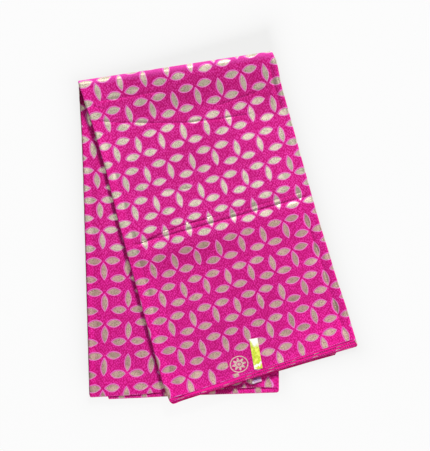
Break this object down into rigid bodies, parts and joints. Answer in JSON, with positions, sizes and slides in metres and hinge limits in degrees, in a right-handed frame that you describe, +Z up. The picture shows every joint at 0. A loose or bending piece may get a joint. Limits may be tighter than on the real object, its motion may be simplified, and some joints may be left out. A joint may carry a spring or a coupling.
{
  "type": "folded length of wax-print cotton cloth",
  "caption": "Fuchsia wax-print cotton with a gold leaf repeat, folded into a narrow many-ply strip and folded once over, slightly askew.",
  "frame": {"origin": "middle of the bounding box, on the surface that the folded cloth lies on", "axes": "+Z up from that surface, +Y towards the top fold, +X to the right as the cloth is seen from above"},
  "size_m": [0.4906, 0.6232, 0.022],
  "materials": {
    "printed_cotton": "fuchsia plain-weave cotton, matte, with a metallic gold leaf print outlined in lilac pink",
    "selvedge_cotton": "plain pink cotton selvedge, matte",
    "lime_foil": "lime-gold foil sticker, glossy",
    "silver_foil": "silvery foil sticker, glossy"
  },
  "bodies": {
    "root": {"front_stretch": "printed_cotton", "rear_stretch": "printed_cotton", "hidden_plies": "selvedge_cotton", "foil_label": "lime_foil", "edge_label": "silver_foil"}
  },
  "joints": []
}
